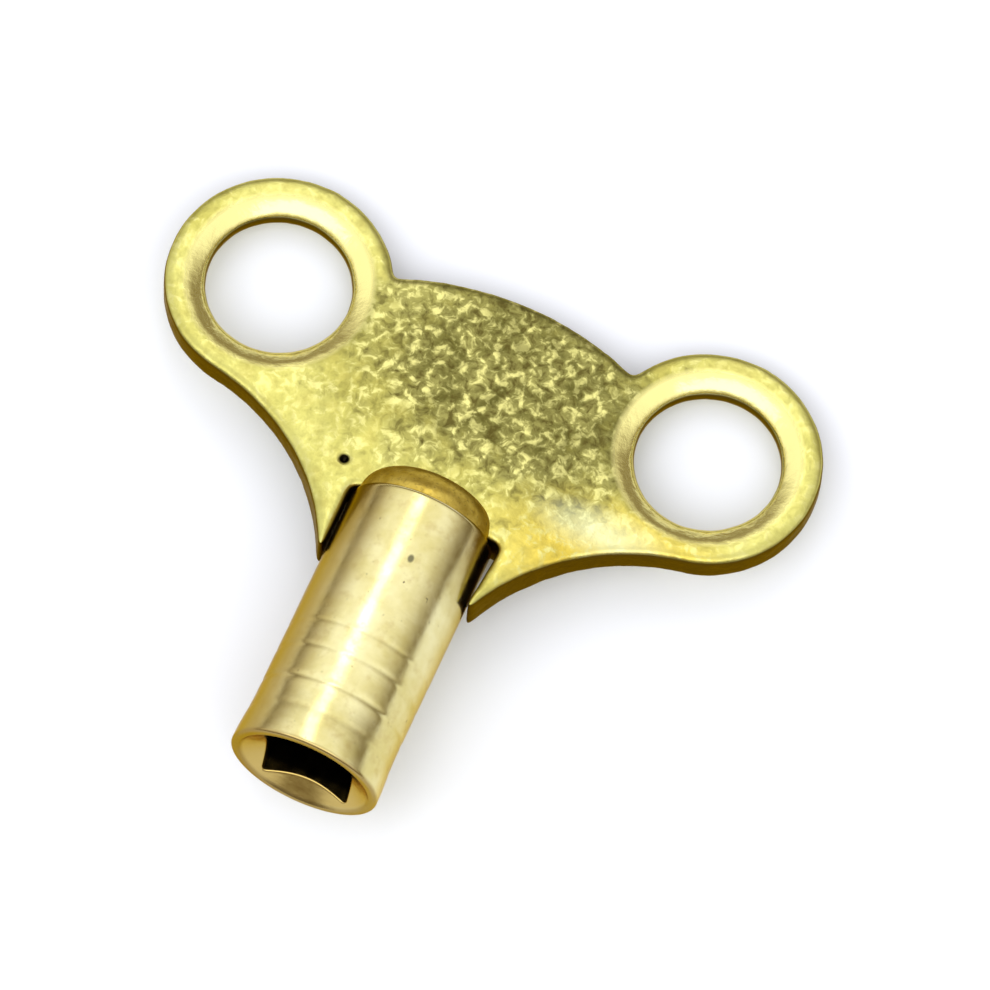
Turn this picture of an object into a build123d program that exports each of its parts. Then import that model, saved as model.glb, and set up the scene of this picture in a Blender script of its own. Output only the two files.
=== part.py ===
from build123d import *
import math
import os

# Radiator bleed key of the clock-key pattern, lying flat: a cast brass bow with two finger
# rings, a turned brass barrel with a blind socket, and the braze that joins them.
#
# Frame: origin at the centre of the socket's mouth. +Y runs along the barrel from the mouth
# to the bow, X runs along the line of the two rings, +Z is square to the bow's plate.
# All lengths are in millimetres.

# ---- driving dimensions -------------------------------------------------------------------

# barrel
barrel_radius = 4.25
barrel_length = 16.6
flare_radius = 4.4
flare_length = 3.0
lip_round = 0.18
groove_depth = 0.05
groove_round = 0.4
groove_places = (3.9, 5.9, 7.5)

# socket, for a 5 mm square valve stem
socket_across_flats = 5.1
socket_depth = 10.0
lead_in_radius = 3.95
drill_point_angle = 118.0

# bow
ring_spacing = 26.1
ring_line = 26.4
ring_radius = 6.45
finger_hole_radius = 4.1
hole_bevel_width = 1.1
hole_bevel_depth = 0.6
crown_height = 30.8
crown_radius = 18.0
neck_radius = 13.0
neck_end = (4.6, 12.4)
rim_thickness = 2.2
hub_thickness = 3.0
hub_half_width = 4.8
taper_half_width = 9.0
crown_thickness = 2.2
thinning_start = 19.0

# joint between the barrel and the bow
notch_gap = 0.05
notch_draft_gap = 0.4
braze_top_radius = 4.1
braze_shoulder = (3.3, 1.3)
braze_length = 2.1

# ---- worked out from them -----------------------------------------------------------------

ring_x = ring_spacing / 2
ring_centre = (ring_x, ring_line)
plate_top = rim_thickness / 2
hub_top = hub_thickness / 2
crown_top = crown_thickness / 2
notch_root = barrel_length


def neck_arc_centre():
    """Centre of the neck's arc, which is tangent to the ring and passes the neck's end."""
    along_x = neck_end[0] - ring_centre[0]
    along_y = neck_end[1] - ring_centre[1]
    gap = math.hypot(along_x, along_y)
    reach = neck_radius + ring_radius
    along = (reach**2 - neck_radius**2 + gap**2) / (2 * gap)
    across = math.sqrt(reach**2 - along**2)
    unit_x = along_x / gap
    unit_y = along_y / gap
    return (
        ring_centre[0] + along * unit_x - across * unit_y,
        ring_centre[1] + along * unit_y + across * unit_x,
    )


neck_x, neck_y = neck_arc_centre()
share = ring_radius / (ring_radius + neck_radius)
tangent = (
    ring_centre[0] + share * (neck_x - ring_centre[0]),
    ring_centre[1] + share * (neck_y - ring_centre[1]),
)
tangent_angle = math.atan2(tangent[1] - neck_y, tangent[0] - neck_x)
end_angle = math.atan2(neck_end[1] - neck_y, neck_end[0] - neck_x)
middle_angle = (tangent_angle + end_angle) / 2
neck_middle = (
    neck_x + neck_radius * math.cos(middle_angle),
    neck_y + neck_radius * math.sin(middle_angle),
)
crown_centre = crown_height - crown_radius


# ---- bow ----------------------------------------------------------------------------------

# The outline is two rings, the crown between them and the web that narrows to the neck.
with BuildPart() as bow:
    with BuildSketch():
        with Locations((-ring_x, ring_line), (ring_x, ring_line)):
            Circle(ring_radius)
        with BuildLine():
            right_neck = ThreePointArc(tangent, neck_middle, neck_end)
            mirror(right_neck, about=Plane.YZ)
            Line(neck_end, (-neck_end[0], neck_end[1]))
            crown_x = ring_x - ring_radius / 2
            crown_y = crown_centre + math.sqrt(crown_radius**2 - crown_x**2)
            ThreePointArc((-crown_x, crown_y), (0, crown_height), (crown_x, crown_y))
            Line((-crown_x, crown_y), (-tangent[0], tangent[1]))
            Line((crown_x, crown_y), tangent)
        make_face()
    extrude(amount=hub_top, both=True)

    # Seen along the barrel, the plate is thickest at the hub and thins towards the rings.
    with BuildSketch(Plane.XZ):
        with BuildLine():
            reach = ring_x + ring_radius
            Polyline(
                (-hub_half_width, hub_top),
                (hub_half_width, hub_top),
                (taper_half_width, plate_top),
                (reach, plate_top),
                (reach, -plate_top),
                (taper_half_width, -plate_top),
                (hub_half_width, -hub_top),
                (-hub_half_width, -hub_top),
                (-taper_half_width, -plate_top),
                (-reach, -plate_top),
                (-reach, plate_top),
                (-taper_half_width, plate_top),
                close=True,
            )
        make_face()
    extrude(amount=-2 * crown_height, mode=Mode.INTERSECT)

    # Seen from the side, the hub thins towards the crown.
    with BuildSketch(Plane.YZ):
        with BuildLine():
            rings_end = ring_line + ring_radius
            Polyline(
                (0, hub_top),
                (thinning_start, hub_top),
                (crown_height, crown_top),
                (rings_end, crown_top),
                (rings_end, -crown_top),
                (crown_height, -crown_top),
                (thinning_start, -hub_top),
                (0, -hub_top),
                close=True,
            )
        make_face()
    extrude(amount=reach, both=True, mode=Mode.INTERSECT)

    # The notch that takes the barrel: its +X wall has draft, so a thin wedge of air is left.
    with BuildSketch():
        with BuildLine():
            notch_x = barrel_radius + notch_gap
            Polyline(
                (-notch_x, 0),
                (notch_x, 0),
                (notch_x, neck_end[1]),
                (notch_x + notch_draft_gap, notch_root),
                (-notch_x, notch_root),
                close=True,
            )
        make_face()
    extrude(amount=2 * hub_top, both=True, mode=Mode.SUBTRACT)

    # Finger holes, each opened by a wide shallow cone on both faces.
    with Locations((-ring_x, ring_line), (ring_x, ring_line)):
        Hole(finger_hole_radius)
    bevel_foot = plate_top - hole_bevel_depth
    bevel_height = hub_top - bevel_foot
    bevel_mouth = finger_hole_radius + bevel_height * hole_bevel_width / hole_bevel_depth
    for face, turn in ((1, 0), (-1, 180)):
        for x in (-ring_x, ring_x):
            with Locations(Location((x, ring_line, face * bevel_foot), (turn, 0, 0))):
                Cone(
                    finger_hole_radius,
                    bevel_mouth,
                    bevel_height,
                    align=(Align.CENTER, Align.CENTER, Align.MIN),
                    mode=Mode.SUBTRACT,
                )
bow.part.label = "bow"
export_step(bow.part, "parts/bow.step")


# ---- barrel -------------------------------------------------------------------------------

# A turned body: flared lip at the mouth, shallow tool grooves and a square-cut end.
with BuildPart() as barrel:
    with BuildSketch(Plane.XY):
        with BuildLine():
            Polyline(
                (0, 0),
                (flare_radius, 0),
                (flare_radius, flare_length / 4),
                (barrel_radius, flare_length),
                (barrel_radius, barrel_length),
                (0, barrel_length),
                close=True,
            )
        make_face()
    revolve(axis=Axis.Y)
    rim = barrel.edges().filter_by(GeomType.CIRCLE).group_by(Axis.Y)[0]
    fillet(rim, radius=lip_round)

    for place in groove_places:
        with BuildSketch(Plane.XY):
            with Locations((barrel_radius + groove_round - groove_depth, place)):
                Circle(groove_round)
        revolve(axis=Axis.Y, mode=Mode.SUBTRACT)

    # Square socket, opened by a drill-point countersink and closed by a drill point.
    half_point_angle = math.radians(drill_point_angle / 2)
    with BuildSketch(Plane.XZ):
        Rectangle(socket_across_flats, socket_across_flats)
    extrude(amount=-socket_depth, mode=Mode.SUBTRACT)
    with BuildSketch(Plane.XY):
        with BuildLine():
            Polyline(
                (0, 0),
                (lead_in_radius, 0),
                (0, lead_in_radius / math.tan(half_point_angle)),
                close=True,
            )
        make_face()
        with BuildLine():
            point_radius = socket_across_flats / 2
            Polyline(
                (0, socket_depth),
                (point_radius, socket_depth),
                (0, socket_depth + point_radius / math.tan(half_point_angle)),
                close=True,
            )
        make_face()
    revolve(axis=Axis.Y, mode=Mode.SUBTRACT)
barrel.part.label = "barrel"
export_step(barrel.part, "parts/barrel.step")


# ---- braze --------------------------------------------------------------------------------

# A rounded mound of revolution on the barrel's end, of which the part inside the plate is taken
# away: one bead is left on each face of the bow.
with BuildPart() as braze_fillet:
    with BuildSketch(Plane.XY):
        with BuildLine():
            top = (braze_top_radius, notch_root)
            shoulder = (braze_shoulder[0], notch_root + braze_shoulder[1])
            toe = (hub_top, notch_root + braze_length)
            ThreePointArc(top, shoulder, toe)
            Polyline(toe, (0, notch_root + braze_length), (0, notch_root), top)
        make_face()
    revolve(axis=Axis.Y)
    with Locations((0, notch_root, 0)):
        Box(2 * barrel_radius, 2 * barrel_radius, hub_thickness, mode=Mode.SUBTRACT)
braze_fillet.part.label = "braze_fillet"
export_step(braze_fillet.part, "parts/braze_fillet.step")
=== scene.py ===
import math

import bmesh
import bpy
import numpy as np
from mathutils import Matrix, Vector, noise


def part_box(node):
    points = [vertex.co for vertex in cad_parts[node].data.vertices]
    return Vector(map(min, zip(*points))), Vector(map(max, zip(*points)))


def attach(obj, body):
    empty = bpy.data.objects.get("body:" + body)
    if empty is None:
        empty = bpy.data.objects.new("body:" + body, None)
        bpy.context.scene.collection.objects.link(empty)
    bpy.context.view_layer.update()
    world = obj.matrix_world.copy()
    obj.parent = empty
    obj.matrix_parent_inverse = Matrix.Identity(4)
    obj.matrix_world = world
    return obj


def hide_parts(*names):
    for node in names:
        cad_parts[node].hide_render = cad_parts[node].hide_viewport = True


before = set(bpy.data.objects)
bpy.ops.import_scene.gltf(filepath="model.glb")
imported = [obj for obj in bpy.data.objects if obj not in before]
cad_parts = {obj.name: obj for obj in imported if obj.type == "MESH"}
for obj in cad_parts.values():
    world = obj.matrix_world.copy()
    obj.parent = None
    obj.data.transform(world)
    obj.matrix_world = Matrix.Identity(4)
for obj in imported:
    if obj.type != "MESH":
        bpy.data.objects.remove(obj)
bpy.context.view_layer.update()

# Radiator bleed key: a tumbled cast-brass bow, a turned and polished barrel, and the braze
# between them. Shapes are worked out in millimetres and written in metres.

MM = 0.001

# ---- places taken from the frame --------------------------------------------------------------

_, barrel_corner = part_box("barrel")
_, bow_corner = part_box("bow")
BARREL_LENGTH = (barrel_corner / MM).y
FLARE_RADIUS = (barrel_corner / MM).x
HUB_TOP = (bow_corner / MM).z

# ---- dimensions the frame doesn't give, as in the CAD -------------------------------------------

BARREL_RADIUS = 4.25
SOCKET_FLATS = 5.1
SOCKET_DEPTH = 10.0
LEAD_IN_RADIUS = 3.95
POINT_ANGLE = math.radians(118.0 / 2)
RING_X = 13.05
RING_LINE = 26.4
RIM_TOP = 1.1
CROWN_TOP = 1.1
CROWN_HEIGHT = 30.8
CAD_TAPER = (4.8, 9.0)
CAD_THINNING_START = 19.0


# ---- small mesh helpers -------------------------------------------------------------------------


def make_object(name, mesh):
    """A new object in the scene."""
    piece = bpy.data.objects.new(name, mesh)
    bpy.context.scene.collection.objects.link(piece)
    return piece


def smooth_step(x, low, high):
    """0 below low, 1 above high, and smooth in between."""
    t = np.clip((x - low) / (high - low), 0.0, 1.0)
    return t * t * (3.0 - 2.0 * t)


def soft_max(a, b, blend):
    """The larger of two lengths, with the corner between them eased."""
    return 0.5 * (a + b + math.sqrt((a - b) ** 2 + blend**2))


def shade_smooth(mesh):
    mesh.polygons.foreach_set("use_smooth", [True] * len(mesh.polygons))


def mesh_points(mesh):
    points = np.zeros(len(mesh.vertices) * 3)
    mesh.vertices.foreach_get("co", points)
    return points.reshape(-1, 3)


def mesh_edges(mesh):
    edges = np.zeros(len(mesh.edges) * 2, dtype=np.int64)
    mesh.edges.foreach_get("vertices", edges)
    return edges.reshape(-1, 2)


def vertex_normals(mesh):
    normals = np.zeros(len(mesh.vertices) * 3)
    mesh.vertices.foreach_get("normal", normals)
    return normals.reshape(-1, 3)


def set_mesh_points(mesh, points):
    mesh.vertices.foreach_set("co", np.ascontiguousarray(points, dtype=np.float32).ravel())
    mesh.update()


def relaxed(points, edges, rounds):
    """Moves each point half of the way to the mean of its neighbours, several times over."""
    ends = np.concatenate([edges[:, 0], edges[:, 1]])
    others = np.concatenate([edges[:, 1], edges[:, 0]])
    total = len(points)
    neighbours = np.bincount(ends, minlength=total).clip(1)
    for _ in range(rounds):
        sums = [np.bincount(ends, weights=points[others, axis], minlength=total) for axis in range(3)]
        mean = np.stack(sums, axis=1) / neighbours[:, None]
        points = points + 0.5 * (mean - points)
    return points


def wander(points, size, seed, depth):
    """One soft noise value for each point: size is the width of its swells in millimetres."""
    shift = Vector((seed * 17.3, seed * -9.1, seed * 5.7))
    values = [
        noise.fractal(Vector(point) / size + shift, 0.6, 2.0, depth, noise_basis="PERLIN_ORIGINAL")
        for point in points
    ]
    return np.array(values)


# ---- bow ----------------------------------------------------------------------------------------

BOW_VOXEL = 0.13
BOW_WELD = 0.0005
BOW_ROUNDS = 24
BOW_INSET = 0.012
CAST_TAPER = (3.6, 10.4)
CAST_THINNING_START = 17.5
CAST_THINNING_POWER = 1.6
SWELL_HEIGHT = 0.03
SWELL_WIDTH = 3.1
MARK_HEIGHT = 0.016
MARK_WIDTH = 0.6
MARK_LEAST = 0.25
MARK_MIDDLE_Y = 25.0
MARK_REACH = (7.5, 5.5)
PIT_PLACE = (-5.34, 17.8)
PIT_SPREAD = 0.204
PIT_DEPTH = 0.45
UPPER_FACE_Z = 0.5


def cad_half_thickness(x, y):
    """Half the CAD plate's thickness: it thins from the hub to the rings and to the crown."""
    start, end = CAD_TAPER
    across = np.clip((np.abs(x) - start) / (end - start), 0.0, 1.0)
    along = np.clip((y - CAD_THINNING_START) / (CROWN_HEIGHT - CAD_THINNING_START), 0.0, 1.0)
    rim = HUB_TOP + (RIM_TOP - HUB_TOP) * across
    crown = HUB_TOP + (CROWN_TOP - HUB_TOP) * along
    return np.minimum(rim, crown)


def cast_half_thickness(x, y):
    """The same plate as a casting: soft slopes from the hub outwards."""
    across = smooth_step(np.abs(x), *CAST_TAPER)
    along = np.clip((y - CAST_THINNING_START) / (CROWN_HEIGHT - CAST_THINNING_START), 0.0, 1.0)
    drop = 1.0 - (1.0 - across) * (1.0 - along**CAST_THINNING_POWER)
    return HUB_TOP + (RIM_TOP - HUB_TOP) * drop


def remeshed_bow():
    """The CAD bow's mesh in millimetres, divided into small even faces."""
    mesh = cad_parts["bow"].data.copy()
    mesh.transform(Matrix.Scale(1 / MM, 4))
    weld = bmesh.new()
    weld.from_mesh(mesh)
    bmesh.ops.remove_doubles(weld, verts=weld.verts, dist=BOW_WELD)
    weld.to_mesh(mesh)
    weld.free()
    piece = make_object("bow_casting", mesh)
    remesh = piece.modifiers.new("remesh", "REMESH")
    remesh.mode = "VOXEL"
    remesh.voxel_size = BOW_VOXEL
    bpy.context.view_layer.update()
    depsgraph = bpy.context.evaluated_depsgraph_get()
    fine = bpy.data.meshes.new_from_object(piece.evaluated_get(depsgraph))
    piece.modifiers.clear()
    piece.data = fine
    fine.name = "bow_casting"
    return piece


def build_bow():
    """The bow with its edges worn round, its faces swelled like a casting's, and one pit."""
    piece = remeshed_bow()
    mesh = piece.data
    points = mesh_points(mesh)
    x, y = points[:, 0], points[:, 1]
    points[:, 2] *= cast_half_thickness(x, y) / cad_half_thickness(x, y)
    points = relaxed(points, mesh_edges(mesh), BOW_ROUNDS)
    set_mesh_points(mesh, points)

    x, y = points[:, 0], points[:, 1]
    middle = np.exp(-((x / MARK_REACH[0]) ** 2) - ((y - MARK_MIDDLE_Y) / MARK_REACH[1]) ** 2)
    marked = MARK_LEAST + (1.0 - MARK_LEAST) * middle
    swell = SWELL_HEIGHT * wander(points, SWELL_WIDTH, seed=1, depth=3)
    marks = MARK_HEIGHT * marked * wander(points, MARK_WIDTH, seed=2, depth=2)
    from_pit = np.hypot(x - PIT_PLACE[0], y - PIT_PLACE[1])
    pit = PIT_DEPTH * np.exp(-((from_pit / PIT_SPREAD) ** 2)) * (points[:, 2] > UPPER_FACE_Z)
    lift = swell + marks - BOW_INSET - pit
    points = points + vertex_normals(mesh) * lift[:, None]
    set_mesh_points(mesh, points * MM)
    shade_smooth(mesh)
    return piece


# ---- barrel -------------------------------------------------------------------------------------

AROUND = 320
FLARE_SPAN = (0.3, 3.3)
# Each tool groove's place along the barrel, depth and half width.
GROOVES = ((2.1, 0.012, 0.20), (3.9, 0.035, 0.16), (5.9, 0.022, 0.14), (7.5, 0.018, 0.12))
LIP_ROUND = 0.2
INNER_LIP_DEPTH = 0.12
INNER_LIP_WIDTH = 0.18
END_ROUND = 0.3
END_RINGS = (0.8, 0.6, 0.4, 0.2, 0.08)
CORNER_ROUND = 0.3
CONE_BLEND = 0.05
CONE_START = 2.5
SQUARE_START = 2.6
BARREL_SWELL = 0.007
BARREL_SWELL_WIDTH = 1.5
BARREL_SWELL_BIAS = 0.4
BARREL_SWELL_STRETCH = (1.0, 0.35, 1.0)
BARREL_SKIN = 0.2


def outer_radius(y):
    """Radius of the turned outside: straight, then flared to the mouth, with tool grooves."""
    radius = BARREL_RADIUS + (FLARE_RADIUS - BARREL_RADIUS) * (1.0 - smooth_step(y, *FLARE_SPAN))
    for place, depth, width in GROOVES:
        radius = radius - depth * math.exp(-(((y - place) / width) ** 2))
    return radius


def square_radius(angle):
    """Distance from the axis to the socket's wall, whose corners are broken by a small round."""
    half = SOCKET_FLATS / 2
    inner = half - CORNER_ROUND
    c, s = abs(math.cos(angle)), abs(math.sin(angle))
    flat = half / max(c, s)
    if flat * min(c, s) <= inner:
        return flat
    along = inner * (c + s)
    return along + math.sqrt(max(along**2 - 2 * inner**2 + CORNER_ROUND**2, 0.0))


def round_section(radius):
    """A section of one radius all the way round."""
    return lambda angle: radius


def coned_section(radius):
    """The square section where it is opened by a cone that has this radius there."""
    return lambda angle: soft_max(square_radius(angle), radius, CONE_BLEND)


def barrel_sections():
    """Rows of (place along the barrel, radius as a function of the angle), from the socket's
    bottom out over the lip, along the outside to the end and in to its middle."""
    rows = []
    slope = math.tan(POINT_ANGLE)
    point_length = (SOCKET_FLATS / 2) / slope
    for share in np.linspace(0.0, 1.0, 8)[1:]:
        left = point_length * (1 - share)
        rows.append((SOCKET_DEPTH + left, round_section(left * slope)))
    for y in np.linspace(SOCKET_DEPTH, SQUARE_START, 24):
        rows.append((y, square_radius))
    for y in np.linspace(CONE_START, INNER_LIP_DEPTH, 64):
        rows.append((y, coned_section(LEAD_IN_RADIUS - y * slope)))
    inner_lip = LEAD_IN_RADIUS - INNER_LIP_DEPTH * slope
    for turn in np.linspace(0.0, math.pi / 2, 7)[1:]:
        y = INNER_LIP_DEPTH * (1 - math.sin(turn))
        rows.append((y, round_section(inner_lip + INNER_LIP_WIDTH * math.sin(turn))))
    for turn in np.linspace(0.0, math.pi / 2, 9):
        y = LIP_ROUND * (1 - math.cos(turn))
        rows.append((y, round_section(FLARE_RADIUS - LIP_ROUND * (1 - math.sin(turn)))))
    for y in np.linspace(LIP_ROUND, BARREL_LENGTH - END_ROUND, 150)[1:]:
        rows.append((y, round_section(outer_radius(y))))
    for turn in np.linspace(0.0, math.pi / 2, 8)[1:]:
        y = BARREL_LENGTH - END_ROUND * (1 - math.sin(turn))
        rows.append((y, round_section(BARREL_RADIUS - END_ROUND * (1 - math.cos(turn)))))
    for share in END_RINGS:
        rows.append((BARREL_LENGTH, round_section((BARREL_RADIUS - END_ROUND) * share)))
    return rows


def barrel_skin():
    """A ring of points for each section, joined into one closed mesh."""
    angles = [2 * math.pi * i / AROUND for i in range(AROUND)]
    body = bmesh.new()
    rings = []
    for y, section in barrel_sections():
        ring = []
        for angle in angles:
            r = section(angle)
            ring.append(body.verts.new((r * math.cos(angle), y, r * math.sin(angle))))
        rings.append(ring)
    for near, far in zip(rings, rings[1:]):
        for i in range(AROUND):
            j = (i + 1) % AROUND
            body.faces.new((near[i], near[j], far[j], far[i]))
    body.faces.new(rings[-1])
    bmesh.ops.remove_doubles(body, verts=body.verts, dist=1e-5)
    bmesh.ops.recalc_face_normals(body, faces=body.faces)
    mesh = bpy.data.meshes.new("barrel_turned")
    body.to_mesh(mesh)
    body.free()
    return mesh


def build_barrel():
    """The turned barrel, whose outside isn't perfectly even."""
    mesh = barrel_skin()
    points = mesh_points(mesh)
    from_axis = np.hypot(points[:, 0], points[:, 2])
    outside = smooth_step(from_axis, BARREL_RADIUS - BARREL_SKIN, BARREL_RADIUS)
    waves = wander(points * BARREL_SWELL_STRETCH, BARREL_SWELL_WIDTH, seed=5, depth=2)
    swell = BARREL_SWELL * (waves - BARREL_SWELL_BIAS) * outside
    growth = 1.0 + swell / from_axis.clip(0.5)
    points[:, 0] *= growth
    points[:, 2] *= growth
    set_mesh_points(mesh, points * MM)
    shade_smooth(mesh)
    return make_object("barrel_turned", mesh)


# ---- braze --------------------------------------------------------------------------------------

BEAD_AROUND = 128
BEAD_STEPS = 36
BEAD_TOP = 4.1
BEAD_LENGTH = 2.1
BEAD_POWER = 2.3
BEAD_SINK = 0.1
BEAD_FLOOR = HUB_TOP - BEAD_SINK
BEAD_LEAST = 0.01
BEAD_SWAY = 0.09


def bead_radius(share):
    """Radius of the bead from the barrel's end (share 0) to its toe on the plate (share 1)."""
    rise = (1.0 - share**BEAD_POWER) ** (1.0 / BEAD_POWER)
    return BEAD_FLOOR + (BEAD_TOP - BEAD_FLOOR) * rise


def add_bead(body, side):
    """One closed bead on the face that side names: 1 for the upper one, -1 for the lower."""
    rings = []
    for step in range(BEAD_STEPS + 1):
        share = math.sin(math.pi / 2 * step / BEAD_STEPS)
        y = BARREL_LENGTH - BEAD_SINK + (BEAD_LENGTH + BEAD_SINK) * share
        reach = max(bead_radius(share), BEAD_FLOOR + BEAD_LEAST)
        edge = math.acos(BEAD_FLOOR / reach)
        mid_length = math.sin(math.pi * min(share + 0.15, 1.0))
        ring = []
        for k in range(BEAD_AROUND + 1):
            turn = edge * (2 * k / BEAD_AROUND - 1)
            sway = BEAD_SWAY * noise.noise(Vector((turn * 2.4, y * 1.1, side * 5.0)))
            mid_width = math.cos(turn / max(edge, 0.01) * math.pi / 2)
            r = reach + sway * mid_length * mid_width
            ring.append(body.verts.new((r * math.sin(turn), y, side * r * math.cos(turn))))
        rings.append(ring)
    for near, far in zip(rings, rings[1:]):
        for i in range(BEAD_AROUND):
            body.faces.new((near[i], near[i + 1], far[i + 1], far[i]))
    body.faces.new([ring[0] for ring in rings] + [ring[-1] for ring in reversed(rings)])
    body.faces.new(rings[0])
    body.faces.new(rings[-1])


def build_braze():
    """On both faces, a rounded bead that runs from the barrel's end down to the plate."""
    body = bmesh.new()
    for side in (1, -1):
        add_bead(body, side)
    bmesh.ops.recalc_face_normals(body, faces=body.faces)
    mesh = bpy.data.meshes.new("braze_bead")
    body.to_mesh(mesh)
    body.free()
    set_mesh_points(mesh, mesh_points(mesh) * MM)
    shade_smooth(mesh)
    return make_object("braze_bead", mesh)


# ---- shader nodes -------------------------------------------------------------------------------

EDGE_TINT = (0.80, 0.62, 0.30)


class Nodes:
    """A short way to add shader nodes to a material or a world and join them."""

    def __init__(self, owner, coordinates="Object"):
        self.owner = owner
        owner.use_nodes = True
        self.tree = owner.node_tree
        self.tree.nodes.clear()
        self.place = self.add("ShaderNodeTexCoord").outputs[coordinates]

    def add(self, kind, **settings):
        """A node whose settings are its own properties, or its inputs after an in_."""
        node = self.tree.nodes.new(kind)
        for key, value in settings.items():
            if key.startswith("in_"):
                node.inputs[key[3:].replace("_", " ")].default_value = value
            else:
                setattr(node, key, value)
        return node

    def join(self, output, socket):
        self.tree.links.new(output, socket)

    def feed(self, value, socket):
        """Gives a socket another node's output, a colour or a number."""
        if isinstance(value, bpy.types.NodeSocket):
            self.join(value, socket)
        elif isinstance(value, tuple):
            socket.default_value = (*value, 1.0)
        else:
            socket.default_value = value

    def maths(self, operation, a, b=0.0, c=0.0):
        node = self.add("ShaderNodeMath", operation=operation)
        for value, socket in zip((a, b, c), node.inputs):
            self.feed(value, socket)
        return node.outputs[0]

    def times(self, a, b):
        return self.maths("MULTIPLY", a, b)

    def vector(self, operation, source, by=None):
        node = self.add("ShaderNodeVectorMath", operation=operation)
        self.join(source, node.inputs[0])
        if by is not None:
            node.inputs[1].default_value = by
        return node.outputs["Value" if operation in ("LENGTH", "DOT_PRODUCT") else "Vector"]

    def axis(self, source, name):
        """One axis of a vector."""
        node = self.add("ShaderNodeSeparateXYZ")
        self.join(source, node.inputs[0])
        return node.outputs[name]

    def mix(self, share, a, b):
        """Colour a where share is 0 and b where it is 1."""
        node = self.add("ShaderNodeMix", data_type="RGBA")
        for value, socket in zip((share, a, b), (node.inputs[0], node.inputs[6], node.inputs[7])):
            self.feed(value, socket)
        return node.outputs[2]

    def noise(self, size, detail=2.0, roughness=0.5, source=None, distortion=0.0):
        """Noise whose swells are about size millimetres wide."""
        node = self.add(
            "ShaderNodeTexNoise",
            in_Scale=1.0 / (size * MM),
            in_Detail=detail,
            in_Roughness=roughness,
            in_Distortion=distortion,
        )
        self.join(source or self.place, node.inputs["Vector"])
        return node.outputs["Fac"]

    def ramp(self, value, *stops):
        """Colours or greys at places along a value."""
        node = self.add("ShaderNodeValToRGB")
        elements = node.color_ramp.elements
        while len(elements) < len(stops):
            elements.new(0.5)
        for element, (place, colour) in zip(elements, stops):
            element.position = place
            element.color = (*(colour if isinstance(colour, tuple) else (colour,) * 3), 1.0)
        self.join(value, node.inputs["Fac"])
        return node.outputs["Color"]

    def distance(self, source, middle, scale):
        """Distance from a place in millimetres, after each axis is multiplied by its own scale."""
        shifted = self.vector("SUBTRACT", source, tuple(part * MM for part in middle))
        scaled = self.vector("MULTIPLY", shifted, tuple(part / MM for part in scale))
        return self.vector("LENGTH", scaled)

    def blob(self, middle, reach):
        """1 at a place on the plate, falling to 0 at the edge of an oval about it."""
        scale = (1.0 / reach[0], 1.0 / reach[1], 0.0)
        return self.maths("SUBTRACT", 1.0, self.distance(self.place, (*middle, 0.0), scale))

    def length_share(self):
        """Place along the barrel, from 0 at the mouth to 1 at the end."""
        return self.times(self.axis(self.place, "Y"), 1.0 / (BARREL_LENGTH * MM))

    def width_share(self):
        """Place across the barrel, from 0 at its left side to 1 at its right."""
        return self.maths("MULTIPLY_ADD", self.axis(self.place, "X"), 0.5 / (BARREL_RADIUS * MM), 0.5)

    def bore_share(self):
        """Distance from the barrel's axis, as a share of the countersink's radius at the mouth."""
        scale = (1.0 / LEAD_IN_RADIUS, 0.0, 1.0 / LEAD_IN_RADIUS)
        return self.distance(self.place, (0.0, 0.0, 0.0), scale)

    def ring_share(self, reach):
        """1 within reach of either ring's centre, fading to 0 just past it."""
        fold = self.vector("ABSOLUTE", self.place)
        size = self.distance(fold, (RING_X, RING_LINE, 0.0), (1.0, 1.0, 0.0))
        past = self.maths("SUBTRACT", size, reach - BEVEL_FADE / 2)
        return self.ramp(self.times(past, 1.0 / BEVEL_FADE), (0.0, 1.0), (1.0, 0.0))

    def side_shade_share(self):
        """1 on walls square to the plate, 0 on its faces: the mask for the walls' painted shade."""
        facing = self.add("ShaderNodeTexCoord").outputs["Normal"]
        upright = self.maths("ABSOLUTE", self.axis(facing, "Z"))
        return self.ramp(upright, (0.30, 1.0), (0.66, 0.0))

    def bump(self, height, depth, normal=None):
        """A bump of depth millimetres, on top of an earlier one."""
        node = self.add("ShaderNodeBump", in_Distance=depth * MM, in_Strength=1.0)
        self.join(height, node.inputs["Height"])
        if normal is not None:
            self.join(normal, node.inputs["Normal"])
        return node.outputs["Normal"]

    def output(self, shader, kind="ShaderNodeOutputMaterial"):
        self.join(shader.outputs[0], self.add(kind).inputs["Surface"])
        return self.owner

    def metal(self, colour, roughness, normal):
        shader = self.add("ShaderNodeBsdfPrincipled", in_Metallic=1.0, in_Specular_Tint=(*EDGE_TINT, 1.0))
        self.join(colour, shader.inputs["Base Color"])
        self.join(roughness, shader.inputs["Roughness"])
        self.join(normal, shader.inputs["Normal"])
        return self.output(shader)


# ---- materials ----------------------------------------------------------------------------------

# Places and reaches on the bow's plate.
BEVEL_REACH = 5.3
BEVEL_FADE = 0.4
ORANGE_PLACE, ORANGE_REACH = (11.0, 17.5), (9.0, 5.5)
DARK_PLACE, DARK_REACH = (1.5, 25.6), (13.0, 8.5)
GREEN_PLACE, GREEN_REACH = (9.5, 19.6), (4.6, 1.8)
PIT_REACH = (0.42, 0.42)
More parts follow.
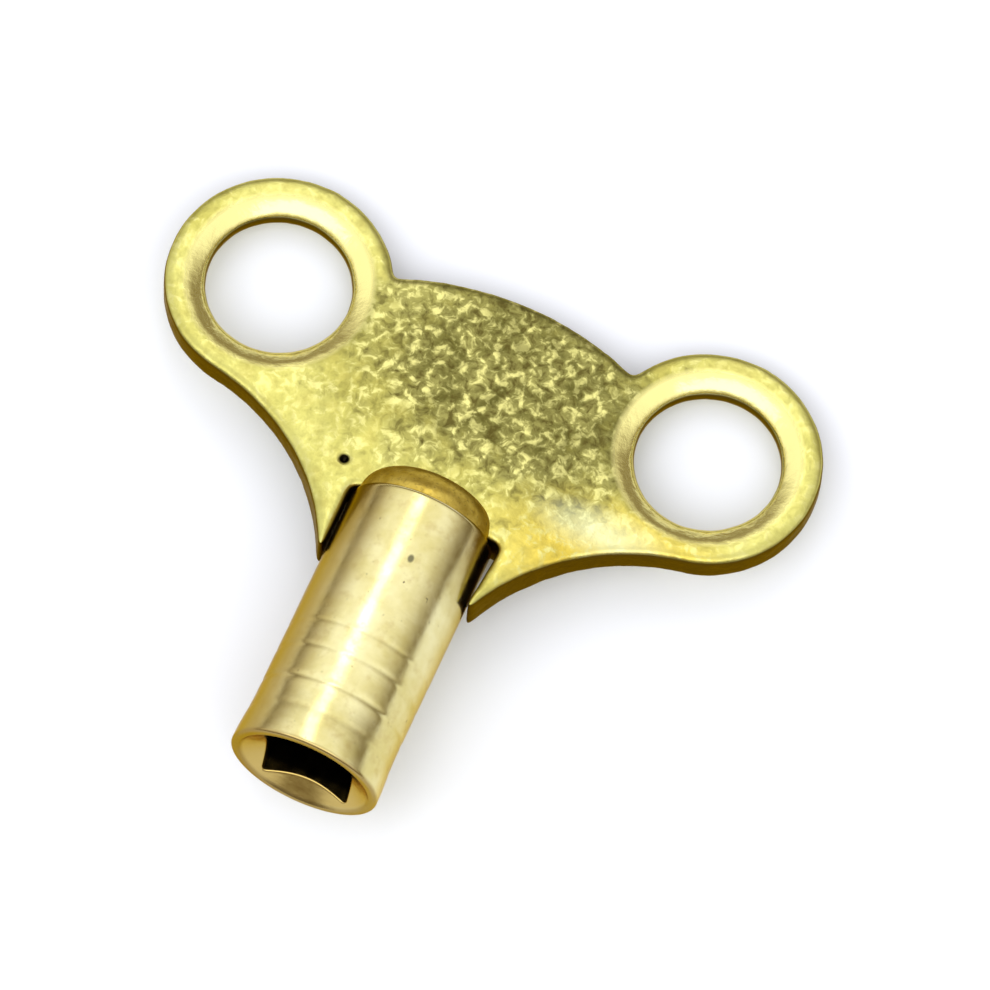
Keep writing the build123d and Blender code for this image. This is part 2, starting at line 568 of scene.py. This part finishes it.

# Colours of the bow, with a painted orange reflection, a painted green-white highlight and painted shade
# for the side walls.
RING_GOLD = (0.43, 0.395, 0.095)
PALE_GOLD = (0.53, 0.50, 0.150)
ORANGE_REFLECTION = (0.62, 0.47, 0.065)
TARNISHED_GOLD = (0.36, 0.31, 0.075)
DARK_MIDDLE_LOW = (0.080, 0.072, 0.016)
DARK_MIDDLE_HIGH = (0.225, 0.208, 0.062)
FLAKE_GOLD = (0.56, 0.525, 0.19)
CREVICE_BROWN = (0.075, 0.058, 0.012)
GREEN_HIGHLIGHT = (0.62, 0.66, 0.42)
BEVEL_GOLD = (0.80, 0.73, 0.29)
SIDE_WALL_SHADE = (0.078, 0.046, 0.008)
PIT_BLACK = (0.01, 0.008, 0.004)
BEVEL_ROUGHNESS = (0.22, 0.22, 0.22)

# The one speck that stands out on the barrel, and the barrel's colours, with painted shade for its flank,
# its sides by the plate, its lip and its socket.
SPECK_PLACE, SPECK_REACH = (0.84, 12.6), (0.24, 0.34)
LATHE_STRETCH = (0.04, 1.0, 0.04)
POLISHED_LOW = (0.64, 0.56, 0.23)
POLISHED_HIGH = (0.76, 0.70, 0.38)
STAIN_BROWN = (0.50, 0.38, 0.14)
FINE_SPECK = (0.16, 0.13, 0.06)
LEFT_FLANK_SHADE = (0.36, 0.255, 0.075)
JOINT_SIDE_SHADE = (0.22, 0.14, 0.03)
LIP_SHADE = (0.30, 0.20, 0.06)
BORE_WALL_SHADE = (0.50, 0.37, 0.12)
DEEP_BORE_SHADE = (0.04, 0.03, 0.012)
SPECK_GREY = (0.14, 0.13, 0.07)

# Colours of the braze.
BRAZE_LOW = (0.40, 0.27, 0.035)
BRAZE_HIGH = (0.60, 0.45, 0.09)
SEAM_BROWN = (0.20, 0.12, 0.02)
SOOT_BROWN = (0.20, 0.13, 0.03)


def material_nodes(name):
    return Nodes(bpy.data.materials.new(name))


def tumbled_brass():
    """Cast brass out of the tumbler: bright on the rings and necks, dark and flecked in the middle,
    a painted orange reflection and a painted green-white highlight by the barrel, painted shade on its
    side walls, and fresh where the holes are countersunk."""
    n = material_nodes("tumbled_brass")
    broad = n.noise(5.0, 3.0, 0.55)
    patch = n.noise(1.3, 4.0, 0.6)
    fleck = n.noise(0.62, 3.0, 0.6, distortion=0.5)
    grain = n.noise(0.14, 2.0, 0.5)

    ground = n.ramp(broad, (0.36, RING_GOLD), (0.62, PALE_GOLD))
    # Painted reflection: an orange cast on the right neck beside the barrel.
    orange = n.ramp(n.blob(ORANGE_PLACE, ORANGE_REACH), (0.0, 0.0), (0.6, 0.9))
    ground = n.mix(orange, ground, ORANGE_REFLECTION)
    tarnish = n.ramp(patch, (0.34, 0.45), (0.50, 0.0))
    colour = n.mix(tarnish, ground, TARNISHED_GOLD)

    worn = n.maths("ADD", patch, n.times(broad, 0.6))
    ragged = n.times(n.maths("SUBTRACT", worn, 0.8), 0.9)
    dark = n.maths("ADD", n.blob(DARK_PLACE, DARK_REACH), ragged)
    dark = n.ramp(dark, (0.05, 0.0), (0.50, 0.95))
    colour = n.mix(dark, colour, n.ramp(patch, (0.36, DARK_MIDDLE_LOW), (0.62, DARK_MIDDLE_HIGH)))
    flake = n.ramp(fleck, (0.51, 0.0), (0.62, 0.9))
    flake = n.times(flake, n.ramp(patch, (0.40, 0.35), (0.56, 1.0)))
    colour = n.mix(flake, colour, FLAKE_GOLD)
    crevice = n.times(n.ramp(fleck, (0.34, 0.75), (0.47, 0.0)), n.maths("ADD", dark, 0.12))
    colour = n.mix(crevice, colour, CREVICE_BROWN)
    # Painted highlight: a pale green-white patch on the right neck just past the barrel's end.
    green = n.ramp(n.blob(GREEN_PLACE, GREEN_REACH), (0.0, 0.0), (0.8, 0.6))
    colour = n.mix(green, colour, GREEN_HIGHLIGHT)

    bevel = n.ring_share(BEVEL_REACH)
    colour = n.mix(bevel, colour, BEVEL_GOLD)
    # Painted shade: every wall square to the plate is darkened to a deep brown.
    colour = n.mix(n.side_shade_share(), colour, SIDE_WALL_SHADE)
    pit = n.ramp(n.blob(PIT_PLACE, PIT_REACH), (0.15, 0.0), (0.45, 1.0))
    colour = n.mix(pit, colour, PIT_BLACK)

    roughness = n.ramp(fleck, (0.3, 0.42), (0.7, 0.30))
    roughness = n.mix(bevel, roughness, BEVEL_ROUGHNESS)
    normal = n.bump(patch, 0.030)
    normal = n.bump(fleck, 0.022, normal)
    normal = n.bump(grain, 0.004, normal)
    return n.metal(colour, roughness, normal)


def turned_brass():
    """Bar brass off the lathe, polished: fine rings round the axis, faint stains, small specks,
    and painted shade on its left flank, on its sides beside the plate and in the socket.
    """
    n = material_nodes("turned_brass")
    along = n.length_share()
    across = n.width_share()
    from_axis = n.bore_share()
    rings = n.noise(0.10, 3.0, 0.6, source=n.vector("MULTIPLY", n.place, LATHE_STRETCH))
    broad = n.noise(2.6, 3.0, 0.6)
    stain = n.noise(0.8, 4.0, 0.6)
    speck = n.noise(0.30, 2.0, 0.5)

    colour = n.ramp(broad, (0.35, POLISHED_LOW), (0.65, POLISHED_HIGH))
    colour = n.mix(n.ramp(stain, (0.30, 0.35), (0.46, 0.0)), colour, STAIN_BROWN)
    colour = n.mix(n.ramp(speck, (0.22, 0.8), (0.28, 0.0)), colour, FINE_SPECK)
    # Painted shade: the barrel's left flank is browned.
    colour = n.mix(n.ramp(across, (0.12, 0.90), (0.36, 0.0)), colour, LEFT_FLANK_SHADE)

    # Painted shade: the outside near the end is browned on both sides but not on the crest, where the
    # barrel meets the plate.
    near_end = n.ramp(along, (0.66, 0.0), (0.98, 0.9))
    outside = n.ramp(from_axis, (0.95, 0.0), (1.0, 1.0))
    off_crest = n.maths("ABSOLUTE", n.maths("SUBTRACT", across, 0.5))
    off_crest = n.ramp(off_crest, (0.22, 0.0), (0.42, 1.0))
    joint_side_shade = n.times(n.times(near_end, outside), off_crest)
    colour = n.mix(joint_side_shade, colour, JOINT_SIDE_SHADE)

    # Painted shade on the lip and on the socket's walls behind it, and darker painted shade on the deep
    # end of the socket.
    colour = n.mix(n.ramp(along, (0.004, 0.85), (0.016, 0.0)), colour, LIP_SHADE)
    bore = n.ramp(from_axis, (0.93, 1.0), (0.98, 0.0))
    walls = n.times(bore, n.ramp(along, (0.0, 1.0), (0.7, 1.0), (0.72, 0.0)))
    colour = n.mix(walls, colour, BORE_WALL_SHADE)
    deep = n.times(bore, n.ramp(along, (0.055, 0.0), (0.075, 1.0), (0.72, 1.0), (0.74, 0.0)))
    colour = n.mix(deep, colour, DEEP_BORE_SHADE)

    spot = n.ramp(n.blob(SPECK_PLACE, SPECK_REACH), (0.1, 0.0), (0.5, 0.9))
    colour = n.mix(spot, colour, SPECK_GREY)
    roughness = n.ramp(stain, (0.35, 0.26), (0.65, 0.16))
    normal = n.bump(rings, 0.0022)
    normal = n.bump(stain, 0.006, normal)
    return n.metal(colour, roughness, normal)


def braze_brass():
    """Brazing brass left from the joint: a browner gold with a soft, slightly sooty skin."""
    n = material_nodes("braze_brass")
    broad = n.noise(0.9, 3.0, 0.6)
    fine = n.noise(0.2, 3.0, 0.6)
    colour = n.ramp(broad, (0.35, BRAZE_LOW), (0.65, BRAZE_HIGH))
    colour = n.mix(n.ramp(n.length_share(), (0.985, 0.55), (0.998, 0.0)), colour, SEAM_BROWN)
    colour = n.mix(n.ramp(fine, (0.30, 0.6), (0.45, 0.0)), colour, SOOT_BROWN)
    roughness = n.ramp(fine, (0.3, 0.46), (0.7, 0.30))
    normal = n.bump(broad, 0.03)
    normal = n.bump(fine, 0.012, normal)
    return n.metal(colour, roughness, normal)


def floor_white():
    n = material_nodes("floor_white")
    tone = n.ramp(n.noise(40.0, 2.0), (0.3, (0.80, 0.82, 0.88)), (0.7, (0.82, 0.84, 0.90)))
    shader = n.add("ShaderNodeBsdfPrincipled", in_Roughness=0.9)
    n.join(tone, shader.inputs["Base Color"])
    return n.output(shader)


# ---- the key ------------------------------------------------------------------------------------

pieces = (
    (build_bow(), "bow", "bow_brass", tumbled_brass()),
    (build_barrel(), "barrel", "barrel_brass", turned_brass()),
    (build_braze(), "braze_fillet", "braze", braze_brass()),
)
for piece, node, slot, material in pieces:
    piece.data.materials.clear()
    piece.data.materials.append(material)
    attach(piece, "root")
    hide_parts(node)


# ---- floor, light and camera --------------------------------------------------------------------

FLOOR_SIDE = 1.6
FLOOR_GAP = 0.02 * MM

# The key's weight acts at BALANCE_Y.
BALANCE_Y = 17.7
SETTLE_STEPS = 24
STEEPEST_TILT = math.radians(30.0)

# The middle of the camera's view, and the camera's place round it.
VIEW_MIDDLE = Vector((3.0, 19.8, 0.0)) * MM
CAMERA_AZIMUTH = math.radians(17.6)
CAMERA_ELEVATION = math.radians(66.2)
CAMERA_ROLL = math.radians(6.3)
CAMERA_DISTANCE = 0.85
FRAME_WIDTH = 0.0551
SENSOR_WIDTH = 36.0

# The dome's colour depends on how near a direction is to DOME_LEAN.
DOME_LEAN = (-0.05, -0.22, 0.97)
DOME_WIDENING = 0.35
DOME_POWER = 1.38
DOME_TONES = (
    (0.34, (0.22, 0.18, 0.12)),
    (0.58, (0.66, 0.63, 0.58)),
    (0.76, (1.0, 1.0, 1.0)),
)

# Each softbox's name, direction from the key, size in metres, power in watts and colour.
SOFTBOX_DISTANCE = 0.60
SOFTBOXES = (
    ("overhead", (-0.16, 0.38, 0.91), (0.13, 0.30), 0.25, (1.0, 1.0, 0.98)),
    ("front", (0.0, -0.60, 0.80), (0.90, 0.35), 1.25, (1.0, 1.0, 1.0)),
)


def settled_floor():
    """A point on the plane that the key lies on, and that plane's upward direction. The key
    tips until its weight is between what holds it up: the end of the barrel on one side and
    the far edges of the rings on the other."""
    points = np.concatenate([mesh_points(piece.data) for piece, *_ in pieces])
    low, high = 0.0, STEEPEST_TILT
    for _ in range(SETTLE_STEPS):
        tilt = (low + high) / 2
        height = points[:, 2] * math.cos(tilt) - points[:, 1] * math.sin(tilt)
        touching = points[height.argmin()]
        if touching[1] > BALANCE_Y * MM:
            high = tilt
        else:
            low = tilt
    return Vector((0.0, touching[1], touching[2])), Vector((0.0, -math.sin(tilt), math.cos(tilt)))


def build_floor():
    """A plain square under the key."""
    half = FLOOR_SIDE / 2
    corners = [(-half, -half, 0), (half, -half, 0), (half, half, 0), (-half, half, 0)]
    mesh = bpy.data.meshes.new("floor")
    mesh.from_pydata(corners, [], [(0, 1, 2, 3)])
    mesh.materials.append(floor_white())
    point, up = settled_floor()
    along = up.cross(Vector((1, 0, 0)))
    turn = Matrix(((1, 0, 0), tuple(along), tuple(up))).transposed().to_4x4()
    floor = make_object("floor", mesh)
    floor.matrix_world = Matrix.Translation(point - up * FLOOR_GAP) @ turn


def set_world():
    """A soft dome of light that leans to the mouth's side, over a dim brown horizon."""
    world = bpy.data.worlds.new("studio")
    bpy.context.scene.world = world
    n = Nodes(world, "Generated")
    lean = n.vector("DOT_PRODUCT", n.place, Vector(DOME_LEAN).normalized())
    sideways = n.axis(n.place, "X")
    widened = n.maths("MULTIPLY_ADD", n.times(sideways, sideways), DOME_WIDENING, lean)
    background = n.add("ShaderNodeBackground", in_Strength=DOME_POWER)
    n.join(n.ramp(widened, *DOME_TONES), background.inputs["Color"])
    n.output(background, "ShaderNodeOutputWorld")


def add_softbox(name, direction, size, power, colour):
    """An area light that looks at the middle of the camera's view."""
    light = bpy.data.lights.new(name, "AREA")
    light.shape = "RECTANGLE"
    light.size, light.size_y = size
    light.energy = power
    light.color = colour
    lamp = make_object(name, light)
    away = Vector(direction).normalized()
    lamp.location = VIEW_MIDDLE + away * SOFTBOX_DISTANCE
    lamp.rotation_mode = "QUATERNION"
    lamp.rotation_quaternion = away.to_track_quat("Z", "Y")


def add_camera():
    """A long lens from the mouth's side, high above the plate and rolled a little."""
    camera = bpy.data.cameras.new("camera")
    holder = make_object("camera", camera)
    back = Vector((
        math.sin(CAMERA_AZIMUTH) * math.cos(CAMERA_ELEVATION),
        -math.cos(CAMERA_AZIMUTH) * math.cos(CAMERA_ELEVATION),
        math.sin(CAMERA_ELEVATION),
    ))
    place = Matrix.Translation(VIEW_MIDDLE + back * CAMERA_DISTANCE)
    level = back.to_track_quat("Z", "Y").to_matrix().to_4x4()
    holder.matrix_world = place @ level @ Matrix.Rotation(CAMERA_ROLL, 4, "Z")
    camera.sensor_width = SENSOR_WIDTH
    camera.lens = SENSOR_WIDTH * CAMERA_DISTANCE / FRAME_WIDTH
    camera.clip_start = 0.01
    camera.clip_end = 20.0
    bpy.context.scene.camera = holder


build_floor()
set_world()
for softbox in SOFTBOXES:
    add_softbox(*softbox)
add_camera()
bpy.context.scene.view_settings.view_transform = "Standard"
